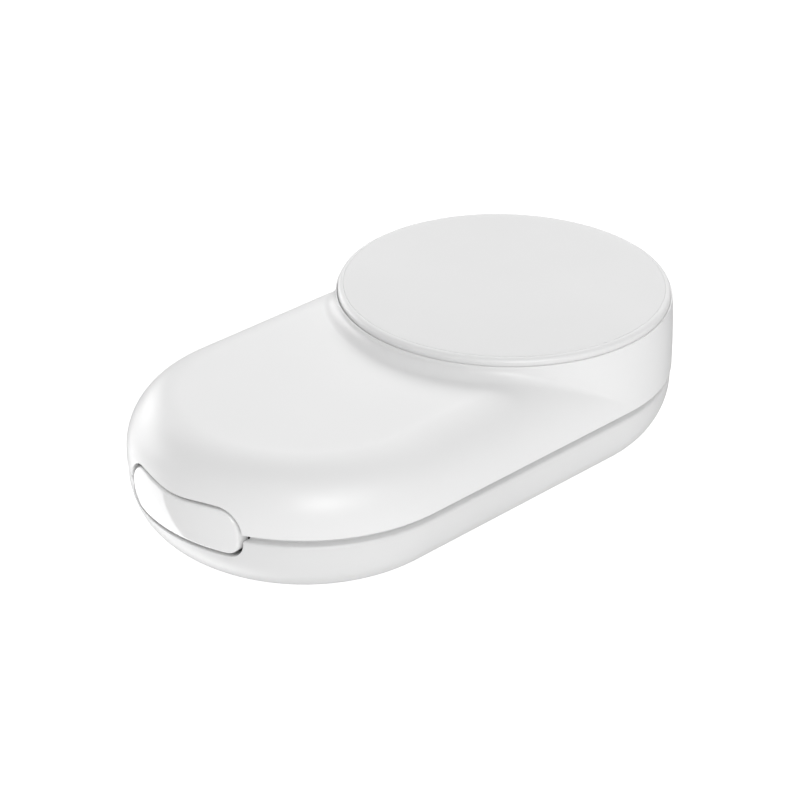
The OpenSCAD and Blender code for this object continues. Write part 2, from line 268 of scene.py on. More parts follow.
def on_station(station, section):
    """Section points (distance from the spine, height) placed at one station."""
    (sx, sy), (nx, ny) = station
    return [(sx + nx * r, sy + ny * r, z) for r, z in section]


def shoulder_height(d):
    """Height of the pill's top surface at the distance d from its spine."""
    if d <= DECK_FLAT:
        return DECK_Z
    return SHOULDER_Z + math.sqrt(max(DECK_ROUND ** 2 - (d - DECK_FLAT) ** 2, 0.0))


def spine_distance(x, y):
    """Distance from the case's spine, in plan."""
    return math.hypot(x + END_X, y) if x < -END_X else abs(y)


def wall_radius(z):
    """Radius of the case's outside at the height z, without the shadow gap."""
    if z > SHOULDER_Z:
        return DECK_FLAT + math.sqrt(max(DECK_ROUND ** 2 - (z - SHOULDER_Z) ** 2, 0.0))
    low = TRAY_Z + TRAY_ROUND
    if z < low:
        return TRAY_FLAT + math.sqrt(max(TRAY_ROUND ** 2 - (low - z) ** 2, 0.0))
    return BODY_R if z > SEAM_Z - 0.6 else TRAY_R


def wall_x(y, z):
    """Where the -X round end's outside lies at (y, z)."""
    return -END_X - math.sqrt(max(wall_radius(z) ** 2 - y * y, 0.0))


def face_x(y, z):
    """Where the button's face lies at (y, z)."""
    mid = SEAM_Z - 0.3
    r = BODY_R - FACE_ROUND + math.sqrt(FACE_ROUND ** 2 - (z - mid) ** 2)
    return -END_X - math.sqrt(r * r - y * y)


# ---------------------------------------------------------------- upper shell

RIDGE_R = BODY_R + 0.1                    # outer edge of the rim on the deck's side, before draft
DRUM_DRAFT = 0.42
DISC_GAP = 0.03                           # between the disc's edge and the rim
DISC_GAP_EXTRA = 0.14                     # what the gap gains on the deck's side
CURVE_POINTS = 40                         # points on the drum's wall, and on the blend
DECK_POINTS = 240
WALL_POINTS = 12
PATH_POINTS = 150                         # points that are kept of each path
BEND_WEIGHT = 14                          # how much closer they lie where the path bends
BEND_LIMIT = 9.0


def ball_centre(phi):
    """The ball that rolls round the drum's foot: its distance from the drum's axis, its height
    and whether it touches the rim's edge."""
    def height(reach):
        d = spine_distance(END_X - reach * math.cos(phi), reach * math.sin(phi))
        if d <= DECK_FLAT:
            return DECK_Z + BLEND_R
        far = DECK_ROUND + BLEND_R
        return SHOULDER_Z + math.sqrt(max(far ** 2 - (d - DECK_FLAT) ** 2, 0.0))

    reach = BODY_R + BLEND_R
    if height(reach) <= RIM_Z:
        return reach, height(reach), False
    low, high = RIDGE_R, RIDGE_R + BLEND_R
    for _ in range(60):
        mid = (low + high) / 2
        gap = math.hypot(mid - RIDGE_R, height(mid) - RIM_Z)
        low, high = (mid, high) if gap < BLEND_R else (low, mid)
    return low, height(low), True


def blend_path(phi):
    """Points from the rim's outer edge over the blend to its foot, at the azimuth phi."""
    reach, z, on_edge = ball_centre(phi)
    centre = Vector((END_X - reach * math.cos(phi), reach * math.sin(phi), z))
    touch_r = RIDGE_R if on_edge else BODY_R
    touch_z = RIM_Z if on_edge else z
    touch = Vector((END_X - touch_r * math.cos(phi), touch_r * math.sin(phi), touch_z))
    d = spine_distance(centre.x, centre.y)
    if d <= DECK_FLAT:
        foot = Vector((centre.x, centre.y, DECK_Z))
    else:
        k = DECK_ROUND / (DECK_ROUND + BLEND_R)
        foot_d = DECK_FLAT + (d - DECK_FLAT) * k
        foot_z = SHOULDER_Z + (z - SHOULDER_Z) * k
        side = 1 if centre.y > 0 else -1
        foot = Vector((centre.x, side * foot_d, foot_z))
    points = []
    if not on_edge:
        top = Vector((touch.x, touch.y, RIM_Z))
        points = [top.lerp(touch, i / CURVE_POINTS) for i in range(CURVE_POINTS)]
    a, b = (touch - centre), (foot - centre)
    if a.angle(b, 0.0) > 1e-4:
        for i in range(CURVE_POINTS):
            spoke = a.slerp(b, i / CURVE_POINTS)
            points.append(centre + spoke * BLEND_R / spoke.length)
    points.append(foot)
    return points


def deck_path(foot, edge):
    """Points on the pill's top surface on the plan line from the foot to the wall."""
    points = []
    for i in range(1, DECK_POINTS + 1):
        t = 1 - (1 - i / DECK_POINTS) ** 2
        x = foot.x + (edge.x - foot.x) * t
        y = foot.y + (edge.y - foot.y) * t
        points.append(Vector((x, y, shoulder_height(min(spine_distance(x, y), BODY_R)))))
    return points


def soft_corner(points, index, reach):
    """Replaces the corner at an index of a path by a short curve."""
    def at_distance(step):
        left, i = reach, index
        while 0 < i + step < len(points) - 1 and (points[i + step] - points[i]).length < left:
            left -= (points[i + step] - points[i]).length
            i += step
        span = points[i + step] - points[i]
        return points[i] + span * (left / span.length), i

    before, i0 = at_distance(-1)
    after, i1 = at_distance(1)
    corner = points[index]
    curve = []
    steps = 6
    for k in range(steps + 1):
        t = k / steps
        curve.append(before * (1 - t) ** 2 + corner * 2 * t * (1 - t) + after * t * t)
    return points[:i0] + curve + points[i1 + 1:]


def tapered(point):
    """Pulls a point near the drum's wall in a little towards the rim, as the mould's draft does."""
    dx, dy = point.x - END_X, point.y
    reach = math.hypot(dx, dy)
    near = 1 - min(max((reach - RIDGE_R) / BLEND_R, 0.0), 1.0)
    high = min(max((point.z - SHOULDER_Z) / (RIM_Z - SHOULDER_Z), 0.0), 1.0)
    k = 1 - DRUM_DRAFT * high ** 2 * near ** 2 / reach
    return Vector((END_X + dx * k, dy * k, point.z))


def drum_point(phi, r, z):
    """A point at the azimuth phi about the drum's axis, where 0 is towards the button."""
    return Vector((END_X - r * math.cos(phi), r * math.sin(phi), z))


def gap_radius(phi):
    """Radius of the shell's edge round the disc: the gap is wider on the deck's side."""
    return CAP_R + DISC_GAP + DISC_GAP_EXTRA * max(math.cos(phi), 0.0)


def shell_station(phi, normal, spine_x, edge):
    """One closed cross-section of the upper shell at the azimuth phi about the drum's axis."""
    rounding = 0.16
    gap_r = gap_radius(phi)
    if phi <= math.pi / 2:
        path = blend_path(phi)
        if phi < math.pi / 2 - 1e-6:
            path += deck_path(path[-1], edge)
    else:
        path = [drum_point(phi, BODY_R, RIM_Z + (SHOULDER_Z - RIM_Z) * i / CURVE_POINTS)
                for i in range(CURVE_POINTS + 1)]
    bottom = Vector((edge.x, edge.y, SEAM_Z + rounding))
    last = path[-1]
    path += [last.lerp(bottom, i / WALL_POINTS) for i in range(1, WALL_POINTS + 1)]
    path = [tapered(p) for p in path]
    rim_top = [drum_point(phi, gap_r + 0.08, RIM_Z)]
    line = soft_corner(rim_top + path, 1, 0.14)
    curved = [1.0] * len(line)
    for i in range(1, len(line) - 1):
        a, b = line[i] - line[i - 1], line[i + 1] - line[i]
        if a.length > 1e-6 and b.length > 1e-6:
            bend = a.angle(b, 0.0) / max(a.length + b.length, 1e-3)
            curved[i] = 1.0 + min(bend * BEND_WEIGHT, BEND_LIMIT)
    line = resample(line, PATH_POINTS, curved)
    inside = [
        drum_point(phi, WELL_R, DECK_Z - WALL),
        drum_point(phi, WELL_R, CAP_Z),
        drum_point(phi, gap_r, CAP_Z),
        drum_point(phi, gap_r, RIM_Z - 0.08),
        drum_point(phi, gap_r + 0.025, RIM_Z - 0.025),
    ]
    nx, ny = normal
    under = []
    for r, z in arc(BODY_R - rounding, SEAM_Z + rounding, rounding, 0, -90, 4)[1:]:
        under.append((r, z))
    inner_r = BODY_R - WALL
    inner_round = DECK_ROUND - WALL
    ceiling = DECK_Z - WALL - 1.2
    top_angle = math.degrees(math.asin((ceiling - SHOULDER_Z) / inner_round))
    under.append((inner_r, SEAM_Z))
    under += arc(BODY_R - DECK_ROUND, SHOULDER_Z, inner_round, 0, top_angle, 10)
    tail = [Vector((spine_x + nx * r, ny * r, z)) for r, z in under]
    return inside + line + tail


def shell_stations():
    """Cross-sections of the upper shell all the way round, from the -X end by +Y."""
    foot_r = ball_centre(0)[0]
    turn_phi = math.asin(DECK_FLAT / foot_r)
    turn_x = END_X - foot_r * math.cos(turn_phi)
    quarter = math.pi * BODY_R / 2
    along = quarter + turn_x + END_X
    half = []
    count = 150
    for i in range(count):
        s = along * i / count
        phi = turn_phi * i / count
        if s < quarter:
            a = math.pi - s / BODY_R
            normal, spine_x = (math.cos(a), math.sin(a)), -END_X
        else:
            normal, spine_x = (0.0, 1.0), -END_X + s - quarter
        half.append((phi, normal, spine_x))
    count = 90
    for i in range(count + 1):
        phi = turn_phi + (math.pi / 2 - turn_phi) * i / count
        reach = ball_centre(phi)[0]
        half.append((phi, (0.0, 1.0), END_X - reach * math.cos(phi)))
    count = 96
    for i in range(1, count + 1):
        a = math.pi / 2 * (1 - i / count)
        half.append((math.pi - a, (math.cos(a), math.sin(a)), END_X))
    stations = []
    for phi, (nx, ny), spine_x in half:
        edge = Vector((spine_x + nx * BODY_R, ny * BODY_R, SHOULDER_Z))
        stations.append(shell_station(phi, (nx, ny), spine_x, edge))
    mirrored = [[Vector((p.x, -p.y, p.z)) for p in s] for s in stations[-2:0:-1]]
    return stations + mirrored


def upper_shell(material):
    """The case's upper half, with the drum, the deck and the button's window."""
    verts, faces = loft(shell_stations(), flip=True)
    body = add_piece("upper_shell_body", verts, faces, "upper_shell", "base", material)
    cut(body, window_cutter())
    sharpen(body, 40)


# ---------------------------------------------------------------- button and its window

def button_outline(grow=0.0):
    """The button's outline as points (y, z), anticlockwise, grown outwards by grow."""
    low, high = BUTTON_BOTTOM, BUTTON_TOP
    low_round, high_round = 2.4, 3.6
    w = BUTTON_HALF_W
    right = [(y * (w - low_round) / 24, low) for y in range(24)]
    right += arc(w - low_round, low + low_round, low_round, -90, 0, 14)
    right += [(w, low + low_round + (high - high_round - low - low_round) * i / 8)
              for i in range(1, 8)]
    right += arc(w - high_round, high - high_round, high_round, 0, 90, 20)
    right += [((w - high_round) * (1 - i / 32), high) for i in range(1, 32)]
    shaped = []
    for y, z in right:
        if z > high - 0.5 * high_round and y < DIP_HALF_W:
            z -= DIP * 0.5 * (1 + math.cos(math.pi * y / DIP_HALF_W))
        shaped.append((y, z))
    top = (0.0, high - DIP)
    points = shaped + [top] + [(-y, z) for y, z in shaped[:0:-1]]
    if not grow:
        return points
    grown = []
    for i, (y, z) in enumerate(points):
        y0, z0 = points[i - 1]
        y1, z1 = points[(i + 1) % len(points)]
        ty, tz = y1 - y0, z1 - z0
        size = math.hypot(ty, tz)
        grown.append((y + grow * tz / size, z - grow * ty / size))
    return grown


def rounded_steps(radius, count, first=15):
    """Pairs (inset, depth) over a quarter round, from the face to the side."""
    steps = []
    for i in range(count + 1):
        a = math.radians(first + (90 - first) * i / count)
        steps.append((radius * (1 - math.sin(a)), radius * (1 - math.cos(a))))
    return steps


def window_cutter():
    """The solid that cuts the button's window, with its outer edge a little rounded."""
    edge, outside = 0.22, 0.06
    steps = rounded_steps(edge, 3, 30)
    (o0, d0), (o1, d1) = steps[0], steps[1]
    flare = o0 + (o0 - o1) / (d1 - d0) * (d0 + outside)

    def ring(grow, place):
        return [(place(y, z), y, z) for y, z in button_outline(BUTTON_GAP + grow)]

    rings = [ring(flare, lambda y, z: -END_X - BODY_R - 2)]
    rings.append(ring(flare, lambda y, z: wall_x(y, z) - outside))
    for inset, depth in steps:
        rings.append(ring(inset, lambda y, z, d=depth: wall_x(y, z) + d))
    rings.append(ring(0.0, lambda y, z: WINDOW_END_X))
    return stack(rings)


def cut(piece, cutter):
    """Takes a closed solid out of a piece with an exact boolean, and applies it."""
    verts, faces = cutter
    mesh = closed_mesh("cutter", verts, faces)
    tool = link_object("cutter", mesh)
    modifier = piece.modifiers.new("cut", "BOOLEAN")
    modifier.operation = "DIFFERENCE"
    modifier.solver = "EXACT"
    modifier.object = tool
    graph = bpy.context.evaluated_depsgraph_get()
    result = bpy.data.meshes.new_from_object(piece.evaluated_get(graph))
    piece.modifiers.remove(modifier)
    materials = list(piece.data.materials)
    old = piece.data
    piece.data = result
    result.name = old.name
    result.materials.clear()
    for material in materials:
        result.materials.append(material)
    bpy.data.meshes.remove(old)
    bpy.data.objects.remove(tool)
    bpy.data.meshes.remove(mesh)
    for polygon in piece.data.polygons:
        polygon.use_smooth = True


def back_x(y):
    """Where the button's back lies at y."""
    return -END_X - math.sqrt(BUTTON_BACK_R ** 2 - y ** 2)


def button_body():
    """The tab's solid: its curved face, its rounded edge and its curved back."""
    edge = 0.32
    mid_z = (BUTTON_BOTTOM + BUTTON_TOP) / 2
    inner = button_outline(-edge)
    face_rings, back_rings = 26, 10
    rings = []
    for k in range(1, face_rings):
        s = k / face_rings
        ring = [(y * s, mid_z + (z - mid_z) * s) for y, z in inner]
        rings.append([(face_x(y, z), y, z) for y, z in ring])
    for inset, depth in rounded_steps(edge, 6, 0):
        ring = button_outline(-inset)
        rings.append([(face_x(y, z) + depth, y, z) for y, z in ring])
    base = button_outline()
    chamfer, slim_y, slim_z = 0.15, 0.985, 0.98
    rings.append([(back_x(y) - chamfer, y, z) for y, z in base])
    for k in range(back_rings):
        s = 1 - k / back_rings
        rings.append([(back_x(y * s), y * s * slim_y, mid_z + (z - mid_z) * s * slim_z)
                      for y, z in base])
    return stack(rings, flip=True)


def button_posts():
    """The two guide posts and the nib that pushes the switch."""
    post = [(AXIS_R, -51), (1.5, -51), (1.5, -42.9), (1.2, -42.6), (AXIS_R, -42.6)]
    nib = [(AXIS_R, -52.3), (1.8, -52.3), (1.3, -51.2), (1.3, -48.8), (1.1, -48.6),
           (AXIS_R, -48.6)]
    return [lathe_x(post, -POST_Y, BUTTON_Z), lathe_x(post, POST_Y, BUTTON_Z),
            lathe_x(nib, 0, BUTTON_Z)]


def button_cap(material):
    """The glossy tab with its posts and its nib."""
    verts, faces = joined(button_body(), *button_posts())
    piece = add_piece("button_face", verts, faces, "button_cap", "button", material)
    sharpen(piece, 50)


# ---------------------------------------------------------------- lower shell

def tray_section():
    """Closed cross-section of the tray, from the recess in its underside to its floor."""
    low = TRAY_Z + TRAY_ROUND
    edge = 0.45
    section = [(RECESS_R - 0.01, TRAY_Z + RECESS_D), (RECESS_R, TRAY_Z + RECESS_D - 0.01),
               (RECESS_R, TRAY_Z + 0.1), (RECESS_R + 0.1, TRAY_Z)]
    section += arc(TRAY_FLAT, low, TRAY_ROUND, -90, 0, 44)
    section += arc(TRAY_R - edge, TRAY_TOP - edge, edge, 0, 90, 8)
    section += [(LIP_R + 0.12, TRAY_TOP), (LIP_R + 0.035, TRAY_TOP + 0.035),
                (LIP_R, TRAY_TOP + 0.12)]
    lip_top = SEAM_Z + 1.8
    tip = 0.2
    section += arc(LIP_R - tip, lip_top - tip, tip, 0, 90, 4)
    section += arc(LIP_R - LIP_T + tip, lip_top - tip, tip, 90, 180, 4)
    section += [(LIP_R - LIP_T, LIP_FOOT_Z), (TRAY_R - TRAY_WALL, LIP_FOOT_Z)]
    inner_round = TRAY_ROUND - TRAY_WALL
    start = -math.degrees(math.asin((low - LIP_FOOT_Z) / inner_round))
    section += arc(TRAY_FLAT, low, inner_round, start, -90, 24)[1:]
    return section


def slot_ring(half_w, half_t, z, grow, x):
    """A flat slot's outline with round ends at the place x, grown outwards by grow."""
    side = half_w - half_t
    points = arc(side, z, half_t + grow, -90, 90, 16) + arc(-side, z, half_t + grow, 90, 270, 16)
    return [(x, y, h) for y, h in points]


def slot_cutter(half_w, half_t, z):
    """A flat slot along X, through the end wall."""
    return stack([slot_ring(half_w, half_t, z, 0, x) for x in (CUT_FROM_X, CUT_TO_X)])


def light_cutter():
    """A round hole along X for the light guide, through the end wall."""
    low, high = node_box("light_pipe")
    r = (high[1] - low[1]) / 2 + 0.06
    profile = [(AXIS_R, CUT_FROM_X), (r, CUT_FROM_X), (r, CUT_TO_X), (AXIS_R, CUT_TO_X)]
    return lathe_x(profile, (low[1] + high[1]) / 2, (low[2] + high[2]) / 2)


def lower_shell(material):
    """The tray, with the openings for the button, the socket and the light."""
    section = tray_section()
    stations = [on_station(s, section) for s in outline(0.5)]
    verts, faces = loft(stations, flip=True)
    body = add_piece("lower_shell_body", verts, faces, "lower_shell", "base", material)
    cut(body, window_cutter())
    socket_z = (SOCKET_LOW[2] + SOCKET_HIGH[2]) / 2
    room = 0.25
    half_w = SOCKET_HIGH[1] + room
    half_t = (SOCKET_HIGH[2] - SOCKET_LOW[2]) / 2 + room
    cut(body, slot_cutter(half_w, half_t, socket_z))
    cut(body, light_cutter())
    sharpen(body, 40)


# ---------------------------------------------------------------- charging disc and foot

def disc_cap(material):
    """The white disc whose rounded edge shows round the soft face."""
    edge_r = CAP_R - PAD_R
    pad_floor = PAD_LOW[2]
    step_r, step_h = 27.5, 0.5
    profile = [(AXIS_R, CAP_Z + step_h), (step_r, CAP_Z + step_h), (step_r, CAP_Z),
               (CAP_R - 0.1, CAP_Z), (CAP_R, CAP_Z + 0.1)]
    edge_h = PAD_HIGH[2] - pad_floor - 0.05
    profile += [(PAD_R + (r - PAD_R) * edge_r, pad_floor + z * edge_h)
                for r, z in arc(PAD_R, 0, 1, 0, 84, 16)]
    profile += [(PAD_R + 0.01, pad_floor + edge_h), (PAD_R + 0.01, pad_floor),
                (AXIS_R, pad_floor)]
    verts, faces = lathe(profile)
    piece = add_piece("disc_edge", verts, faces, "disc_cap", "base", material)
    sharpen(piece, 40)


def disc_pad(material):
    """The soft face on which the phone rests."""
    top = PAD_HIGH[2]
    edge = 0.12
    profile = [(AXIS_R, PAD_LOW[2]), (PAD_R, PAD_LOW[2])]
    profile += arc(PAD_R - edge, top - edge, edge, 0, 90, 5)
    profile += [(r, top) for r in (27, 24, 20, 15, 10, 5, AXIS_R)]
    verts, faces = lathe(profile)
    piece = add_piece("disc_face", verts, faces, "disc_pad", "base", material)
    sharpen(piece, 50)


def foot_pad(material):
    """The rubber pad in the recess under the tray."""
    r, top, edge = FOOT_HIGH[1], FOOT_HIGH[2], 0.25
    section = [(r - 0.02, top), (r, top - 0.02)]
    section += arc(r - edge, edge, edge, 0, -90, 6)
    stations = [on_station(s, section) for s in outline(0.8)]
    verts, faces = loft(stations)
    piece = add_piece("foot_face", verts, faces, "foot_pad", "base", material)
    sharpen(piece, 60)


# ---------------------------------------------------------------- socket, light, coil and springs

def socket_shell(material):
    """Drawn steel shell of the socket, with a rolled edge at its mouth."""
    x0, x1 = SOCKET_LOW[0], SOCKET_HIGH[0]
    z = (SOCKET_LOW[2] + SOCKET_HIGH[2]) / 2
    half_w, half_t, wall = SOCKET_HIGH[1], (SOCKET_HIGH[2] - SOCKET_LOW[2]) / 2, 0.3
    edge = wall / 2
    steps = [(-0.2, x0), (0, x0 + 0.2), (0, x1 - edge)]
    steps += [(-edge + r, x) for x, r in arc(x1 - edge, 0, edge, 80, -80, 8)]
    steps += [(-wall, x1 - edge), (-wall, x0 + 0.4)]
    verts, faces = stack([slot_ring(half_w, half_t, z, grow, x) for grow, x in steps])
    piece = add_piece("socket_shell", verts, faces, "usb_shell", "base", material)
    sharpen(piece, 50)


def block(low, high):
    """A box between two corners."""
    (x0, y0, z0), (x1, y1, z1) = low, high
    rings = [[(x, y0, z0), (x, y1, z0), (x, y1, z1), (x, y0, z1)] for x in (x0, x1)]
    return stack(rings)


def socket_contacts(material):
    """Gold contact strips on both sides of the socket's tongue."""
    low, high = node_box("usb_tongue")
    z = (low[2] + high[2]) / 2
    count, pitch, half_w, thick = 12, 0.5, 0.13, 0.03
    parts = []
    for side in (-1, 1):
        for i in range(count):
            y = (i - (count - 1) / 2) * pitch
            reach = 1.1 if i in (0, 3, 8, 11) else 0.9
            z0 = z + side * 0.35
            z1 = z0 + side * thick
            parts.append(block((high[0] - 3.6, y - half_w, min(z0, z1)),
                               (high[0] - 1.5 + reach, y + half_w, max(z0, z1))))
    verts, faces = joined(*parts)
    mesh = closed_mesh("socket_contacts", verts, faces)
    piece = link_object("socket_contacts", mesh)
    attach(piece, "base")
    mesh.materials.append(material)


def light_lens(material):
    """Clear light guide with a domed outer end."""
    low, high = node_box("light_pipe")
    r = (high[1] - low[1]) / 2
    dome = 0.35
    profile = [(AXIS_R, low[0]), (r, low[0])]
    profile += [(h, x) for x, h in arc(high[0] - dome, r - dome, dome, 90, 20, 6)]
    profile += [(r * 0.4, high[0] - 0.005), (AXIS_R, high[0])]
    verts, faces = lathe_x(profile, (low[1] + high[1]) / 2, (low[2] + high[2]) / 2)
    piece = add_piece("light_lens", verts, faces, "light_pipe", "base", material)
    sharpen(piece, 50)


def tube(points, radius):
    """A wire of round section along a path of points, closed at both ends."""
    sides = 8
    rings = []
    for i, p in enumerate(points):
        ahead = points[min(i + 1, len(points) - 1)] - points[max(i - 1, 0)]
        ahead.normalize()
        reference = Vector((0, 0, 1)) if abs(ahead.z) < 0.9 else Vector((1, 0, 0))
        across = ahead.cross(reference).normalized()
        over = across.cross(ahead)
        rings.append([tuple(p + radius * (across * math.cos(a) + over * math.sin(a)))
                      for a in (2 * math.pi * k / sides for k in range(sides))])
    return stack(rings)


def coil_turns(material):
    """The flat coil as one wound strand, instead of a plain ring."""
    low, high = node_box("charging_coil")
    wire = (high[2] - low[2]) / 2
    outer = (high[0] - low[0]) / 2 - wire
    inner = COIL_HOLE_R + wire
    turns, step = (outer - inner) / (2 * wire) - 0.02, 64
    points = []
    for i in range(int(turns * step) + 1):
        a = 2 * math.pi * i / step
        r = inner + (outer - inner) * i / (turns * step)
        points.append(Vector((END_X + r * math.cos(a), r * math.sin(a), low[2] + wire)))
    verts, faces = tube(points, wire * 0.97)
    add_piece("coil_strand", verts, faces, "charging_coil", "base", material)


def spring_coils(material):
    """The two return springs as wound wire. The real springs shorten as the button goes in; this
    mesh keeps one length.
    """
    low, high = node_box("button_springs")
    outer = high[1] - POST_Y
    wire = 0.22
    x0, x1 = low[0] + wire, high[0] - wire
    turns, step = 4.0, 24
    parts = []
    for side in (-1, 1):
        points = []
        for i in range(int(turns * step) + 1):
            a = 2 * math.pi * i / step
            t = min(max((i / (turns * step) - FLAT_END) / (1 - 2 * FLAT_END), 0.0), 1.0)
            points.append(Vector((x0 + (x1 - x0) * t,
                                  side * POST_Y + (outer - wire) * math.cos(a),
                                  BUTTON_Z + (outer - wire) * math.sin(a))))
        parts.append(tube(points, wire))
    verts, faces = joined(*parts)
    piece = add_piece("spring_coils", verts, faces, "button_springs", "base", material)
    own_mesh(piece)


# ---------------------------------------------------------------- materials

BUMP_HEIGHT = 0.0001


def new_material(name):
    material = bpy.data.materials.new(name)
    material.use_nodes = True
    nodes, links = material.node_tree.nodes, material.node_tree.links
    shader = nodes["Principled BSDF"]
    return material, nodes, links, shader


def moulded(name, color, rough, grain=220.0, depth=0.02, spread=0.012, rough_spread=0.05):
    """Moulded plastic: fine surface grain, a slow drift of colour and uneven gloss."""
    material, nodes, links, shader = new_material(name)
    where = nodes.new("ShaderNodeTexCoord")
    slow = nodes.new("ShaderNodeTexNoise")
    slow.inputs["Scale"].default_value = 28.0
    slow.inputs["Detail"].default_value = 3.0
    links.new(where.outputs["Object"], slow.inputs["Vector"])
    tint = nodes.new("ShaderNodeValToRGB")
    tint.color_ramp.elements[0].position = 0.3
    tint.color_ramp.elements[1].position = 0.7
    tint.color_ramp.elements[0].color = [max(c - spread, 0) for c in color] + [1]
    tint.color_ramp.elements[1].color = [min(c + spread, 1) for c in color] + [1]
    links.new(slow.outputs["Fac"], tint.inputs["Fac"])
    links.new(tint.outputs["Color"], shader.inputs["Base Color"])
    fine = nodes.new("ShaderNodeTexNoise")
    fine.inputs["Scale"].default_value = grain * 10
    fine.inputs["Detail"].default_value = 2.0
    links.new(where.outputs["Object"], fine.inputs["Vector"])
    gloss = nodes.new("ShaderNodeMapRange")
    gloss.inputs["To Min"].default_value = rough - rough_spread
    gloss.inputs["To Max"].default_value = rough + rough_spread
    links.new(slow.outputs["Fac"], gloss.inputs["Value"])
    links.new(gloss.outputs["Result"], shader.inputs["Roughness"])
    bump = nodes.new("ShaderNodeBump")
    bump.inputs["Strength"].default_value = depth
    bump.inputs["Distance"].default_value = BUMP_HEIGHT
    links.new(fine.outputs["Fac"], bump.inputs["Height"])
    links.new(bump.outputs["Normal"], shader.inputs["Normal"])
    return material


def metal(name, color, rough, stretch=(1, 1, 1)):
    """Bare or plated metal with fine brushed streaks."""
    material, nodes, links, shader = new_material(name)
    where = nodes.new("ShaderNodeTexCoord")
    mapping = nodes.new("ShaderNodeMapping")
    mapping.inputs["Scale"].default_value = stretch
    links.new(where.outputs["Object"], mapping.inputs["Vector"])
    noise = nodes.new("ShaderNodeTexNoise")
    noise.inputs["Scale"].default_value = 900.0
    noise.inputs["Detail"].default_value = 4.0
    links.new(mapping.outputs["Vector"], noise.inputs["Vector"])
    ramp = nodes.new("ShaderNodeMapRange")
    ramp.inputs["To Min"].default_value = rough * 0.7
    ramp.inputs["To Max"].default_value = rough * 1.3
    links.new(noise.outputs["Fac"], ramp.inputs["Value"])
    links.new(ramp.outputs["Result"], shader.inputs["Roughness"])
    tint = nodes.new("ShaderNodeValToRGB")
    tint.color_ramp.elements[0].color = [c * 0.88 for c in color] + [1]
    tint.color_ramp.elements[1].color = list(color) + [1]
    links.new(noise.outputs["Fac"], tint.inputs["Fac"])
    links.new(tint.outputs["Color"], shader.inputs["Base Color"])
    shader.inputs["Metallic"].default_value = 1.0
    return material


def patterned(name, color, line, rough, kind, scale, bump_depth=0.1):
    """A surface with a regular or cellular pattern, such as board tracks, foam or film."""
    material, nodes, links, shader = new_material(name)
    where = nodes.new("ShaderNodeTexCoord")
    if kind == "bands":
        texture = nodes.new("ShaderNodeTexWave")
        texture.bands_direction = "Z"
        height = texture.outputs["Fac"]
    elif kind == "tracks":
        texture = nodes.new("ShaderNodeTexBrick")
        texture.inputs["Mortar Size"].default_value = 0.06
        height = texture.outputs["Fac"]
    else:
        texture = nodes.new("ShaderNodeTexVoronoi")
        height = texture.outputs["Distance"]
    texture.inputs["Scale"].default_value = scale
    links.new(where.outputs["Object"], texture.inputs["Vector"])
    tint = nodes.new("ShaderNodeValToRGB")
    tint.color_ramp.elements[0].color = list(color) + [1]
    tint.color_ramp.elements[1].color = list(line) + [1]
    links.new(height, tint.inputs["Fac"])
    links.new(tint.outputs["Color"], shader.inputs["Base Color"])
    gloss = nodes.new("ShaderNodeMapRange")
    gloss.inputs["To Min"].default_value = rough * 0.85
    gloss.inputs["To Max"].default_value = rough * 1.15
    links.new(height, gloss.inputs["Value"])
    links.new(gloss.outputs["Result"], shader.inputs["Roughness"])
    bump = nodes.new("ShaderNodeBump")
    bump.inputs["Strength"].default_value = bump_depth
    bump.inputs["Distance"].default_value = BUMP_HEIGHT
    links.new(height, bump.inputs["Height"])
    links.new(bump.outputs["Normal"], shader.inputs["Normal"])
    return material


def clear_plastic(name):
    """Clear moulded plastic with an uneven gloss."""
    material, nodes, links, shader = new_material(name)
    where = nodes.new("ShaderNodeTexCoord")
    noise = nodes.new("ShaderNodeTexNoise")
    noise.inputs["Scale"].default_value = 600.0
    links.new(where.outputs["Object"], noise.inputs["Vector"])
    gloss = nodes.new("ShaderNodeMapRange")
    gloss.inputs["To Min"].default_value = 0.12
    gloss.inputs["To Max"].default_value = 0.3
    links.new(noise.outputs["Fac"], gloss.inputs["Value"])
    links.new(gloss.outputs["Result"], shader.inputs["Roughness"])
    shader.inputs["Base Color"].default_value = (0.86, 0.87, 0.88, 1)
    shader.inputs["Transmission Weight"].default_value = 0.7
    shader.inputs["IOR"].default_value = 1.49
    return material


def dress(material, *names):
    """Gives a material to the CAD nodes that are shown as they are."""
    for name in names:
        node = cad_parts[name]
        if not node.material_slots:
            node.data.materials.append(material)
        for slot in node.material_slots:
            slot.material = material


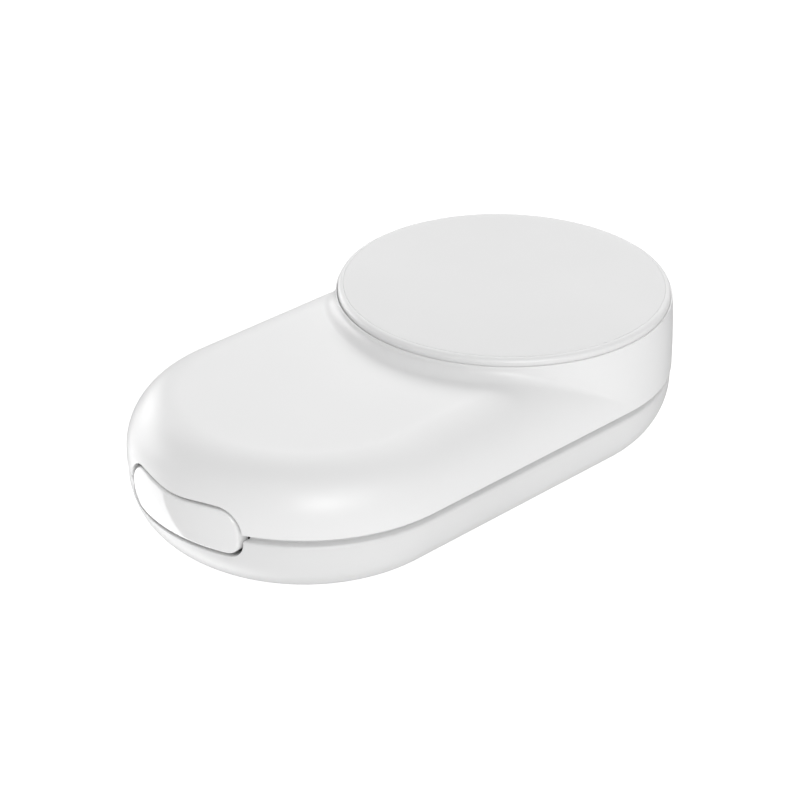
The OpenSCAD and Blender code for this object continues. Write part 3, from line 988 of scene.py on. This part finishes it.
def dress_inside():
    """Materials of the pieces that the case hides."""
    steel = metal("plated_steel", (0.66, 0.66, 0.67), 0.3)
    dress(steel, "board_screws", "guide_screws", "case_screws", "post_clips")
    dress(metal("nickel_plate", (0.74, 0.72, 0.68), 0.22), "magnet_ring")
    dress(metal("nickel_strip", (0.72, 0.70, 0.64), 0.35, (1, 8, 1)), "cell_straps")
    dress(metal("yoke_steel", (0.38, 0.38, 0.40), 0.4), "magnet_yoke")
    dress(metal("aluminium_sheet", (0.78, 0.79, 0.80), 0.35, (12, 1, 1)), "heat_spreader")
    copper = metal("enamelled_copper", (0.78, 0.40, 0.22), 0.25)
    dress(copper, "coil_leads")
    coil_turns(copper)
    spring_coils(steel)
    dark = moulded("dark_plastic", (0.05, 0.05, 0.055), 0.5, depth=0.06, spread=0.006)
    dress(dark, "coil_carrier", "cell_cradle", "button_guide", "switch_body", "usb_tongue")
    dress(moulded("plunger_plastic", (0.36, 0.20, 0.07), 0.4), "switch_plunger")
    dress(moulded("cell_sleeve", (0.06, 0.30, 0.17), 0.28, depth=0.03, spread=0.01),
          "battery_cells")
    dress(moulded("red_sleeve", (0.45, 0.03, 0.02), 0.45, spread=0.01), "cell_leads")
    dress(moulded("black_sleeve", (0.03, 0.03, 0.03), 0.45, spread=0.004), "cell_sensor")
    dress(moulded("lamp_body", (0.80, 0.78, 0.66), 0.3), "status_led")
    dress(moulded("chip_resin", (0.035, 0.035, 0.04), 0.55, depth=0.1, spread=0.004),
          "board_chips")
    ferrite = patterned("ferrite", (0.05, 0.05, 0.055), (0.10, 0.10, 0.105), 0.6, "cells", 900)
    dress(ferrite, "ferrite_shield", "board_coils")
    dress(patterned("foam", (0.02, 0.02, 0.02), (0.06, 0.06, 0.06), 0.9, "cells", 1400, 0.8),
          "foam_pads")
    dress(patterned("board_mask", (0.015, 0.12, 0.05), (0.03, 0.22, 0.10), 0.3, "tracks", 260),
          "main_board", "button_board")
    dress(patterned("film_cable", (0.50, 0.22, 0.04), (0.65, 0.33, 0.09), 0.25, "bands", 500),
          "button_ribbon")


# ---------------------------------------------------------------- camera, lights and floor

AZIMUTH = -45.32
ELEVATION = 28.51
ROLL = 0.36
DISTANCE = 16.674 * BODY_R
SHIFT_RIGHT = 0.0412 * BODY_R
SHIFT_UP = -0.2445 * BODY_R
AIM_Z = SEAM_Z - 0.2782 * BODY_R
SENSOR = 36.0
FOCAL_PER_WIDTH = 2873.4 / 800


def camera():
    """The photograph's own viewpoint: a long lens from above the button's end."""
    a, e, r = math.radians(AZIMUTH), math.radians(ELEVATION), math.radians(ROLL)
    back = Vector((math.sin(a) * math.cos(e), -math.cos(a) * math.cos(e), math.sin(e)))
    right = Vector((math.cos(a), math.sin(a), 0))
    up = back.cross(right)
    right, up = (right * math.cos(r) + up * math.sin(r), up * math.cos(r) - right * math.sin(r))
    place = Vector((0, 0, AIM_Z)) - SHIFT_RIGHT * right - SHIFT_UP * up + DISTANCE * back
    data = bpy.data.cameras.new("camera")
    eye = link_object("camera", data)
    data.sensor_width = SENSOR
    data.lens = SENSOR * FOCAL_PER_WIDTH
    data.clip_start = 0.01
    data.clip_end = 100.0
    eye.matrix_world = Matrix((
        (right.x, up.x, back.x, place.x * MM),
        (right.y, up.y, back.y, place.y * MM),
        (right.z, up.z, back.z, place.z * MM),
        (0, 0, 0, 1),
    ))
    bpy.context.scene.camera = eye


def area_light(name, place, target, size, power):
    """A rectangular soft box at a place, turned to a target, in metres."""
    data = bpy.data.lights.new(name, "AREA")
    data.shape = "RECTANGLE"
    data.size, data.size_y = size
    data.energy = power
    lamp = link_object(name, data)
    lamp.location = place
    direction = Vector(target) - Vector(place)
    lamp.rotation_euler = direction.to_track_quat("-Z", "Y").to_euler()
    return lamp


SKY_MEAN = 0.19                           # the sky's brightness at the horizon
SKY_UP = 0.55                             # what it gains towards the zenith
SKY_TILT = -0.03                          # what it gains towards SKY_SIDE
SKY_SIDE = (0.98, -0.20, 0)
SKY_LOW = 0.06
REFLECTOR = 3.2                           # low bright panel between two azimuths, in degrees
REFLECTOR_EDGE = 128
REFLECTOR_FAR = 72
FRONT_BOX = 1.35                          # power of the soft boxes, in watts
BACK_BOX = 3.0
KEY_BOX = 4.8
FILL_BOX = 2.1
FLOOR_GLOW = 0.78
FLOOR_Z = -0.03 * MM                      # just clear of the foot pad
FLOOR_HALF = 6.0


def studio():
    """A bright room with a low panel that only reflections see, and four soft boxes."""
    scene = bpy.context.scene
    scene.view_settings.view_transform = "Standard"
    scene.view_settings.look = "None"
    world = bpy.data.worlds.new("studio")
    scene.world = world
    world.use_nodes = True
    nodes, links = world.node_tree.nodes, world.node_tree.links

    def value(operation, *inputs):
        node = nodes.new("ShaderNodeMath")
        node.operation = operation
        for socket, item in zip(node.inputs, inputs):
            if isinstance(item, (int, float)):
                socket.default_value = item
            else:
                links.new(item, socket)
        return node.outputs[0]

    def along(direction, axis):
        node = nodes.new("ShaderNodeVectorMath")
        node.operation = "DOT_PRODUCT"
        links.new(direction, node.inputs[0])
        node.inputs[1].default_value = axis
        return node.outputs["Value"]

    def step(item, low, high):
        node = nodes.new("ShaderNodeMapRange")
        node.interpolation_type = "SMOOTHSTEP"
        node.inputs["From Min"].default_value = low
        node.inputs["From Max"].default_value = high
        links.new(item, node.inputs["Value"])
        return node.outputs["Result"]

    direction = nodes.new("ShaderNodeTexCoord").outputs["Generated"]
    up = along(direction, (0, 0, 1))
    side = along(direction, SKY_SIDE)
    sky = value("MAXIMUM", value("ADD", value("MULTIPLY", up, SKY_UP),
                                 value("MULTIPLY_ADD", side, SKY_TILT, SKY_MEAN)), SKY_LOW)
    edge = math.radians(REFLECTOR_EDGE)
    beyond = along(direction, (math.sin(edge), -math.cos(edge), 0))
    panel = value("MULTIPLY", step(beyond, 0.0, 0.03), step(up, 0.12, -0.03))
    far = math.radians(REFLECTOR_FAR)
    panel = value("MULTIPLY", panel,
                  step(along(direction, (-math.sin(far), math.cos(far), 0)), 0.0, 0.2))
    total = value("MULTIPLY_ADD", panel, REFLECTOR, sky)
    ground = nodes["Background"]
    ground.inputs["Color"].default_value = (1, 1, 1, 1)
    links.new(total, ground.inputs["Strength"])
    front = area_light("front_box", (-0.46, -0.66, 0.40), (-0.02, 0, 0.02), (0.26, 0.26),
                       FRONT_BOX)
    front.visible_diffuse = False
    key = area_light("key_box", (0.58, 0.48, 0.45), (0, 0, 0.02), (0.3, 0.3), KEY_BOX)
    key.visible_glossy = False
    area_light("fill_box", (-0.30, -0.60, 0.42), (0, 0, 0.02), (0.6, 0.6), FILL_BOX)
    back = area_light("back_box", (-0.08, 0.85, 0.22), (-0.02, 0, 0.02), (0.7, 0.34), BACK_BOX)
    back.visible_diffuse = False


def floor():
    """A plain pale floor, which glows a little and isn't seen in reflections."""
    mesh = bpy.data.meshes.new("floor")
    corners = [(-1, -1), (1, -1), (1, 1), (-1, 1)]
    mesh.from_pydata([(x * FLOOR_HALF, y * FLOOR_HALF, FLOOR_Z) for x, y in corners],
                     [], [(0, 1, 2, 3)])
    plane = link_object("floor", mesh)
    material, _, _, shader = new_material("floor")
    shader.inputs["Base Color"].default_value = (0.42, 0.42, 0.42, 1)
    shader.inputs["Roughness"].default_value = 0.9
    shader.inputs["Emission Color"].default_value = (1, 1, 1, 1)
    shader.inputs["Emission Strength"].default_value = FLOOR_GLOW
    mesh.materials.append(material)
    plane.visible_glossy = False


# ---------------------------------------------------------------- build

shell_plastic = moulded("shell_plastic", (0.86, 0.86, 0.86), 0.36)
# The tray is the shell's white plastic greyed a little: painted shade for the weaker light on its
# lower, downward-turned wall.
tray_plastic_painted_shade = moulded("tray_plastic_painted_shade", (0.78, 0.78, 0.78), 0.40)
edge_plastic = moulded("edge_plastic", (0.84, 0.84, 0.84), 0.35)
soft_face = moulded("soft_face", (0.78, 0.78, 0.78), 0.75, grain=400, depth=0.05)
gloss_plastic = moulded("gloss_plastic", (0.86, 0.86, 0.86), 0.09, rough_spread=0.02, depth=0.0)
foot_rubber = moulded("foot_rubber", (0.6, 0.6, 0.6), 0.7, depth=0.08)

upper_shell(shell_plastic)
lower_shell(tray_plastic_painted_shade)
disc_cap(edge_plastic)
disc_pad(soft_face)
button_cap(gloss_plastic)
foot_pad(foot_rubber)
socket_shell(metal("socket_steel", (0.70, 0.70, 0.71), 0.3))
socket_contacts(metal("contact_gold", (0.83, 0.62, 0.28), 0.25))
light_lens(clear_plastic("lens_plastic"))
dress_inside()

camera()
studio()
floor()
